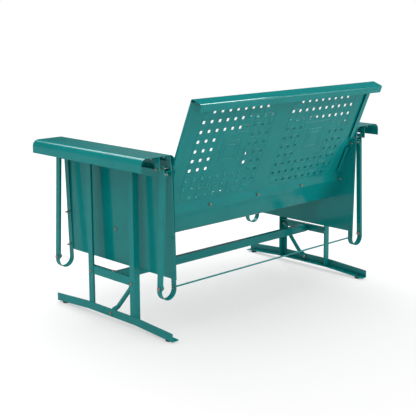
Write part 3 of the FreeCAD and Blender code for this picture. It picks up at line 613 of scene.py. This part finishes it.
def rounded_loop(centre, half, radius):
    """Points round a square with rounded corners, flat on the panel."""
    loop = []
    for quarter in range(4):
        middle = math.pi / 4 + quarter * math.pi / 2
        cx = centre[0] + math.copysign(half - radius, math.cos(middle))
        cy = centre[1] + math.copysign(half - radius, math.sin(middle))
        for k in range(CORNER_STEPS + 1):
            angle = quarter * math.pi / 2 + k / CORNER_STEPS * math.pi / 2
            loop.append((cx + radius * math.cos(angle), cy + radius * math.sin(angle)))
    return loop


def bead_loops(centre, half, radius, width, rise):
    """Loops across a bead, from its inner edge to its outer one, with their heights."""
    loops = []
    for k in range(BEAD_STEPS + 1):
        offset = width * (k / BEAD_STEPS - 0.5)
        height = rise * math.cos(math.pi * offset / width) ** 2
        loops.append((rounded_loop(centre, half + offset, radius + offset), height))
    return loops


def field_beads(field_y):
    """All beads of both fields: frame, centre step and the two small squares."""
    return [bead_loops((side * FIELD_X, field_y), half * PITCH, radius * PITCH, width,
                       RISE * share)
            for side in (-1, 1) for half, radius, width, share in BEADS]


print("beads per field", len(BEADS))

# %% [markdown]
# ## From flat panel to folded sheet
# The flat part is made lying down. Its rim and beads are set point by point, and its holes and
# bars come from the tree. Then it is laid in its slope, and the folds before and after it are
# swept onto its two straight edges. Everything merges into one closed sheet.

# %% The flat part


def panel_rim(name, corners, beads):
    """The panel's rim, and the two edges of each bead, as bare edges."""
    points, edges = [], []
    for loop in [corners] + [loops[end][0] for loops in beads for end in (0, -1)]:
        start = len(points)
        points.extend((px, py, 0.0) for px, py in loop)
        edges.extend((start + k, start + (k + 1) % len(loop)) for k in range(len(loop)))
    mesh = bpy.data.meshes.new(name)
    mesh.from_pydata(points, edges, [])
    piece = bpy.data.objects.new(name, mesh)
    bpy.context.scene.collection.objects.link(piece)
    return piece


def punched(rim, field_y):
    """The mesh that the panel tree makes of a rim. The rim itself is removed."""
    modifier = rim.modifiers.new("press", "NODES")
    modifier.node_group = panel_maker.tree
    modifier[panel_maker.names["Field Y"]] = field_y
    modifier[panel_maker.names["Finish"]] = teal
    graph = bpy.context.evaluated_depsgraph_get()
    mesh = bpy.data.meshes.new_from_object(rim.evaluated_get(graph))
    bpy.data.objects.remove(rim)
    return mesh


def flat_panel(name, half_width, low, high, field_y):
    """The flat part as a mesh: X across, Y along, Z the face; open along its four edges."""
    beads = field_beads(field_y)
    corners = [(-half_width, low), (half_width, low), (half_width, high), (-half_width, high)]
    body = bmesh.new()
    body.from_mesh(punched(panel_rim(name + "_rim", corners, beads), field_y))
    for loops in beads:
        for level in (SHEET / 2, -SHEET / 2):
            rows = [[body.verts.new((px, py, height + level)) for px, py in loop]
                    for loop, height in loops]
            for inner, outer in zip(rows, rows[1:]):
                for k in range(len(inner)):
                    m = (k + 1) % len(inner)
                    corner = [inner[k], outer[k], outer[m], inner[m]]
                    body.faces.new(corner if level > 0 else corner[::-1])
    return body


print("flat part ready to build")

# %% [markdown]
# ## Folds and sides
# A fold is its two face lines, drawn at both ends of the sheet and bridged. The turned sides of
# the sheets are thin closed pieces of their own, whose outer edges are rounded off, as a bend
# in steel is.

# %% Folds and turned sides
ROUNDED_STEPS = 3


def swept_fold(body, right_line, left_line, half_width, closed_start, closed_end):
    """Add a folded strip between its two face lines."""
    rows = []
    for line in (right_line, left_line):
        rows.append([[body.verts.new((x, p.x, p.y)) for p in line]
                     for x in (-half_width, half_width)])
    (a0, a1), (b0, b1) = rows
    for k in range(len(right_line) - 1):
        body.faces.new((a0[k], a1[k], a1[k + 1], a0[k + 1]))
        body.faces.new((b0[k], b0[k + 1], b1[k + 1], b1[k]))
        body.faces.new((a0[k], a0[k + 1], b0[k + 1], b0[k]))
        body.faces.new((a1[k], b1[k], b1[k + 1], a1[k + 1]))
    if closed_start:
        body.faces.new((a0[0], b0[0], b1[0], a1[0]))
    if closed_end:
        body.faces.new((a0[-1], a1[-1], b1[-1], b0[-1]))


def add_cheek(body, outline, outer_x, inner_x, edge):
    """Add a turned piece of sheet: an outline in YZ that reaches from one X to the other.

    The edges of its face at the first X are rounded off, as a bend or a cut edge is.
    """
    turn = 1 if outer_x > inner_x else -1
    outer = [body.verts.new((outer_x, p[0], p[1])) for p in outline]
    inner = [body.verts.new((inner_x, p[0], p[1])) for p in outline]
    face = body.faces.new(outer[::turn])
    body.faces.new(inner[::-turn])
    for k in range(len(outline)):
        m = (k + 1) % len(outline)
        body.faces.new((outer[k], inner[k], inner[m], outer[m])[::turn])
    bmesh.ops.bevel(body, geom=list(face.edges), offset=edge, offset_type="OFFSET",
                    segments=ROUNDED_STEPS, profile=0.5, affect="EDGES", clamp_overlap=False)


print("steps of a rounded edge", ROUNDED_STEPS)

# %% [markdown]
# ## One sheet, start to end
# The steps come together here. The flat run is punched and laid in its slope, the folds before
# and after it are swept, the four ends are closed, and the sides are added. The weighted normals
# at the end keep the flats crisp beside their soft bends.

# %% Build one pressed sheet
WELD = 2e-6
FLAT_WEIGHT = 80


def lay(body, origin, run, side):
    """Turn the flat part up, so that its Y runs along the line and its Z out of the face."""
    laid = Matrix(((1.0, 0.0, 0.0, 0.0), (0.0, run.x, side.x, origin.x),
                   (0.0, run.y, side.y, origin.y), (0.0, 0.0, 0.0, 1.0)))
    bmesh.ops.transform(body, matrix=laid, verts=body.verts)


def closed_sheet(name, line, radii, flat_at, half_width, field_y):
    """The folded sheet in YZ, swept along X, whose run number flat_at is punched and pressed.

    The line is the sheet's right-hand face as it is walked. The left-hand face lies one sheet
    thickness to its left.
    """
    right, left = face_line(line, radii, 0.0), face_line(line, radii, SHEET)
    cut = flat_at * (FOLD_STEPS + 1)
    run = (right[cut + 1] - right[cut]).normalized()
    side = Vector((-run.y, run.x))
    body = flat_panel(name, half_width, (right[cut] - line[flat_at]).dot(run),
                      (right[cut + 1] - line[flat_at]).dot(run), field_y)
    lay(body, line[flat_at] + side * (SHEET / 2), run, side)
    swept_fold(body, right[:cut + 1], left[:cut + 1], half_width, True, False)
    swept_fold(body, right[cut + 1:], left[cut + 1:], half_width, False, True)
    for x in (-half_width, half_width):
        ends = [body.verts.new((x, p.x, p.y))
                for p in (right[cut], right[cut + 1], left[cut + 1], left[cut])]
        body.faces.new(ends)
    bmesh.ops.remove_doubles(body, verts=body.verts, dist=WELD)
    bmesh.ops.recalc_face_normals(body, faces=body.faces)
    print(name, sum(1 for e in body.edges if len(e.link_faces) != 2), "open edges")
    return body


def pressed_sheet(name, node, line, radii, flat_at, half_width, field_y, cheeks):
    """The finished sheet with its sides, in place of its CAD node."""
    body = closed_sheet(name, [Vector(p) for p in line], radii, flat_at,
                        half_width - SHEET / 2, field_y)
    for side in (-1, 1):
        for outline, outer, inner, edge in cheeks:
            add_cheek(body, outline, side * (half_width - outer), side * (half_width - inner),
                      edge)
    mesh = bpy.data.meshes.new(name)
    body.to_mesh(mesh)
    body.free()
    mesh.materials.append(teal)
    mesh.shade_smooth()
    piece = bpy.data.objects.new(name, mesh)
    bpy.context.scene.collection.objects.link(piece)
    crease = piece.modifiers.new("flats", "WEIGHTED_NORMAL")
    crease.keep_sharp = True
    crease.weight = FLAT_WEIGHT
    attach(piece, "seat")
    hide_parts(node)
    return piece


print("sheet builder ready")

# %% [markdown]
# ## The back
# The back leans 23 degrees. Its top is rolled to the rear into a grip rail, and its foot turns
# down into a short skirt that is bolted to the seat. Its corner lines are those of the folded
# steel, from the skirt's foot up and over to the free edge of the roll.

# %% The back's fold line
MID = -0.04578  # middle of the foot rails, from which the fold lines are measured
RECLINE = math.radians(23.1)
FIRST_ROW = 0.0566  # from the top fold down to the nearest row of holes
BACK_RADII = (0.0055, 0.004, 0.004, 0.004)
back_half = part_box("back_panel")[1][0]
back_line = [(0.20587 + MID, 0.394), (0.21334 + MID, 0.409), (0.21334 + MID, 0.437),
             (0.37670 + MID, 0.820), (0.41920 + MID, 0.804), (0.41020 + MID, 0.780)]
back_up = Vector((math.sin(RECLINE), math.cos(RECLINE)))
back_out = Vector((math.cos(RECLINE), -math.sin(RECLINE)))
back_run = (back_line[3][1] - back_line[2][1]) / back_up.y
back_field = back_run - FIRST_ROW - (LATTICE - 1) / 2 * PITCH


def on_back(down, out):
    """Point on the back: a distance down from the top fold, and one out to the rear."""
    return Vector(back_line[3]) - back_up * down + back_out * out


print("back", round(2 * back_half, 4), "m wide, slope", round(back_run, 4), "m long")

# %% [markdown]
# ## The back's sides
# The sides are folded over to the rear, so that no raw edge can be touched: a shallow wall and a
# return strip behind the face. A tab is left standing at each bolt.

# %% The back's folded sides
# Depth of the wall, width of the strip behind the face, rounding of the strip's raw edge
EDGE_FOLD, EDGE_RETURN, RAW_EDGE = 0.007, 0.022, 0.0004
EDGE_FROM_ROLL, EDGE_FROM_SKIRT = 0.008, 0.014
# Depth of a tab, its middle down from the top fold, half its length, its corners
TAB, TAB_DOWN, TAB_HALF, TAB_CORNER = 0.022, 0.272, 0.020, 0.006
SKIRT_TAB_DROP, SKIRT_TAB_TUCK = 0.004, 0.0035
BEND = SHEET * 0.8  # rounding of a bend's outer edge
tab_start, tab_end = TAB_DOWN - TAB_HALF, TAB_DOWN + TAB_HALF
side_end = back_run - EDGE_FROM_SKIRT


def side_wall():
    """The shallow wall along the slope, with the tab of the upper bolt."""
    return [on_back(side_end, -SHEET), on_back(EDGE_FROM_ROLL, -SHEET),
            on_back(EDGE_FROM_ROLL, EDGE_FOLD), on_back(tab_start, EDGE_FOLD),
            on_back(tab_start + TAB_CORNER, TAB), on_back(tab_end - TAB_CORNER, TAB),
            on_back(tab_end, EDGE_FOLD), on_back(side_end, EDGE_FOLD)]


def skirt_tab():
    """The tab of the lower bolt, beside the skirt."""
    y, z = back_line[1]
    low, high = z - SKIRT_TAB_DROP, back_line[2][1] - SKIRT_TAB_DROP
    return [Vector(p) for p in (
        (y - SKIRT_TAB_TUCK, low), (y - SHEET, z), (y - SHEET, high),
        (y + TAB - TAB_CORNER, high), (y + TAB, high - TAB_CORNER), (y + TAB, z),
        (y + TAB - TAB_CORNER, low))]


def return_strip(start, stop):
    """The strip that is folded inwards behind the face."""
    return [on_back(stop, EDGE_FOLD - SHEET), on_back(start, EDGE_FOLD - SHEET),
            on_back(start, EDGE_FOLD), on_back(stop, EDGE_FOLD)]


back_sides = [(side_wall(), 0.0, SHEET, BEND), (skirt_tab(), 0.0, SHEET, BEND)]
back_sides += [(return_strip(start, stop), EDGE_RETURN, BEND, RAW_EDGE)
               for start, stop in ((EDGE_FROM_ROLL, tab_start), (tab_end, side_end))]
print("pieces on each side of the back", len(back_sides))

# %% Make the back
back_sheet = pressed_sheet("pressed_back", "back_panel", back_line, BACK_RADII, flat_at=2,
                           half_width=back_half, field_y=back_field, cheeks=back_sides)
print(back_sheet.name, len(back_sheet.data.polygons), "faces")

# %% [markdown]
# ## The seat
# The seat slopes 8 degrees to the rear. Its front edge rolls down into a deep apron, its
# rear edge sweeps up behind the skirt of the back, and its sides have a shallow lip.

# %% The seat's fold line and lip
SEAT_RADII = (0.011, 0.0125, 0.0055)
SEAT_FIELD = 0.24964  # from the front fold to the middle of the fields
SEAT_LIP, LIP_FROM_FRONT, LIP_FROM_REAR = 0.009, 0.0147, 0.0162
seat_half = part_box("seat_pan")[1][0]
seat_line = [(-0.31050 + MID, 0.3220), (-0.31050 + MID, 0.39229), (0.16953 + MID, 0.3245),
             (0.21179 + MID, 0.40936), (0.21179 + MID, 0.4310)]


def seat_lip():
    """The shallow lip along each side."""
    start, end = Vector(seat_line[1]), Vector(seat_line[2])
    run = (end - start).normalized()
    up = Vector((-run.y, run.x))
    low, high = start + run * LIP_FROM_FRONT, end - run * LIP_FROM_REAR
    return [low + up * SHEET, high + up * SHEET, high - up * SEAT_LIP, low - up * SEAT_LIP]


print("seat", round(2 * seat_half, 4), "m wide")

# %% Make the seat
seat_sides = [(seat_lip(), 0.0, SHEET, BEND)]
seat_sheet = pressed_sheet("pressed_seat", "seat_pan", seat_line, SEAT_RADII, flat_at=1,
                           half_width=seat_half, field_y=SEAT_FIELD, cheeks=seat_sides)
print(seat_sheet.name, len(seat_sheet.data.polygons), "faces")

# %% [markdown]
# ## The floor
# The bench is shown on a white ground without a horizon. Near the bench the floor is a matt
# white that takes a faint shadow, mixed with a plain glow, and with distance only the glow is
# left. Seen in the gloss of the paint the floor glows less, or the lower parts of the bench
# would turn chalky.

# %% Floor
FLOOR_REACH = 30.0
FADE_START, FADE_END = 2.2, 6.0
SEEN_GLOW, SEEN_SHARE = 0.80, 0.62
MIRRORED_GLOW, MIRRORED_SHARE = 0.30, 0.92
WHITE, PAPER_WHITE = (1.0, 1.0, 1.0, 1.0), (0.80, 0.80, 0.80, 1.0)


def white_sweep():
    sweep, tree, shader, place = new_finish("white_sweep")
    feed(tree, shader, {"Base Color": PAPER_WHITE, "Roughness": 0.9, "Specular IOR Level": 0.1})
    away = make(tree, "ShaderNodeVectorMath", {"operation": "LENGTH"}, {0: place}).out("Value")
    path = make(tree, "ShaderNodeLightPath")
    seen, mirrored = path.out("Is Camera Ray"), path.out("Is Glossy Ray")
    fade = away.between(FADE_START, FADE_END)
    level = (SEEN_GLOW + fade * (1 - SEEN_GLOW)) * seen + MIRRORED_GLOW * mirrored
    share = (SEEN_SHARE + fade * (1 - SEEN_SHARE)) * seen + MIRRORED_SHARE * mirrored
    glow = make(tree, "ShaderNodeEmission", {}, {"Color": WHITE, "Strength": level})
    both = make(tree, "ShaderNodeMixShader", {},
                {0: share, 1: Field(tree, shader.outputs[0]), 2: glow.out(0)})
    feed(tree, tree.nodes["Material Output"], {"Surface": both.out(0)})
    return sweep


def studio_floor():
    corners = [(x * FLOOR_REACH, y * FLOOR_REACH, 0.0)
               for x, y in ((-1, -1), (1, -1), (1, 1), (-1, 1))]
    mesh = bpy.data.meshes.new("studio_floor")
    mesh.from_pydata(corners, [], [(0, 1, 2, 3)])
    mesh.materials.append(white_sweep())
    floor = bpy.data.objects.new("studio_floor", mesh)
    bpy.context.scene.collection.objects.link(floor)


studio_floor()
print("floor", 2 * FLOOR_REACH, "m across")

# %% [markdown]
# ## The room
# The bench stands in a light tent: a bright roof, dimmer walls, and a little more light from
# behind the bench, which softens the side in shadow. Glossy paint shows the room as well as its
# light, so the room that is mirrored is painted apart: dark, with a pale wall on our side, a
# faint strip low on the far one and a pale roof. The camera itself sees plain white.

# %% World
WALL_LIGHT, ROOF_LIGHT, REAR_LIGHT = 0.55, 1.5, 0.6
NEAR_MIRRORED, FAR_MIRRORED, ROOF_MIRRORED, REST_MIRRORED = 0.45, 0.14, 0.35, 0.04
# The way to each wall as (X, Y), and the shares of that way at which it starts and is full
NEAR_WALL, FAR_WALL = ((0.7, 0.7), -0.5, 0.6), ((-0.83, 0.56), -0.02, 0.14)
REAR_WALL = ((-0.2, 0.9), -0.4, 0.8)
# Heights between which a band fades, from 0 at the horizon to 1 straight up
ROOF_EDGE, STRIP_EDGE, TENT_RISE = (0.55, 0.95), (0.20, 0.50), (0.2, 0.95)


def studio_world():
    world = bpy.data.worlds.new("studio_world")
    world.use_nodes = True
    tree = world.node_tree
    path = make(tree, "ShaderNodeLightPath")
    seen, mirrored = path.out("Is Camera Ray"), path.out("Is Glossy Ray")
    facing = make(tree, "ShaderNodeTexCoord").out("Generated")
    parts = make(tree, "ShaderNodeSeparateXYZ", {}, {"Vector": facing})
    x, y, up = parts.out("X"), parts.out("Y"), parts.out("Z")

    def wall(way, low, high):
        """1 on the wall that lies that way from the bench, 0 on the others."""
        return (y * way[1] + x * way[0]).between(low, high)

    overhead = up.between(*ROOF_EDGE)
    far_strip = wall(*FAR_WALL) * (1.0 - up.between(*STRIP_EDGE))
    rear_wall = wall(*REAR_WALL) * (1.0 - overhead)
    room = (wall(*NEAR_WALL) * NEAR_MIRRORED + far_strip * FAR_MIRRORED
            + overhead * ROOF_MIRRORED + REST_MIRRORED)
    tent = up.between(*TENT_RISE) * ROOF_LIGHT + WALL_LIGHT + rear_wall * REAR_LIGHT
    other = (1.0 - seen) * (1.0 - mirrored)
    feed(tree, tree.nodes["Background"],
         {"Color": WHITE, "Strength": seen + room * mirrored + other * tent})
    bpy.context.scene.world = world
    return world


print(studio_world().name, "ready")

# %% [markdown]
# ## The lamps
# A large soft key stands high in front of the bench, on the far side from the camera, and throws
# a faint shadow towards us. A weak box lifts the bench's right end. Two cards give no light and
# only show in the gloss: they draw the highlights along the arm's corner and the back's roll.

# %% Lamps


def softbox(name, place, aim, width, height, radiance, lit=True, mirrored=True):
    """Soft lamp with a given brightness of its face, for its light, its mirror image or both."""
    lamp = bpy.data.lights.new(name, "AREA")
    lamp.shape = "RECTANGLE"
    lamp.size, lamp.size_y = width, height
    lamp.energy = radiance * math.pi * width * height
    piece = bpy.data.objects.new(name, lamp)
    piece.location = place
    aim_at = Vector(aim) - Vector(place)
    piece.rotation_euler = aim_at.to_track_quat("-Z", "Y").to_euler()
    piece.visible_diffuse = lit
    piece.visible_glossy = mirrored
    bpy.context.scene.collection.objects.link(piece)
    print(name, round(lamp.energy, 1), "W")


softbox("key_box", place=(-1.2, -3.2, 3.2), aim=(0.0, 0.0, 0.5), width=3.4, height=2.0,
        radiance=8.0, mirrored=False)
softbox("arm_card", place=(-0.3, -2.7, 2.9), aim=(0.5, 0.0, 0.6), width=1.9, height=0.9,
        radiance=3.2, lit=False)
softbox("roll_card", place=(-1.7, 0.3, 3.1), aim=(0.3, 0.3, 0.8), width=1.2, height=0.8,
        radiance=20.0, lit=False)
softbox("side_box", place=(-3.0, 2.9, 1.3), aim=(0.0, 0.0, 0.6), width=0.9, height=1.9,
        radiance=3.0)
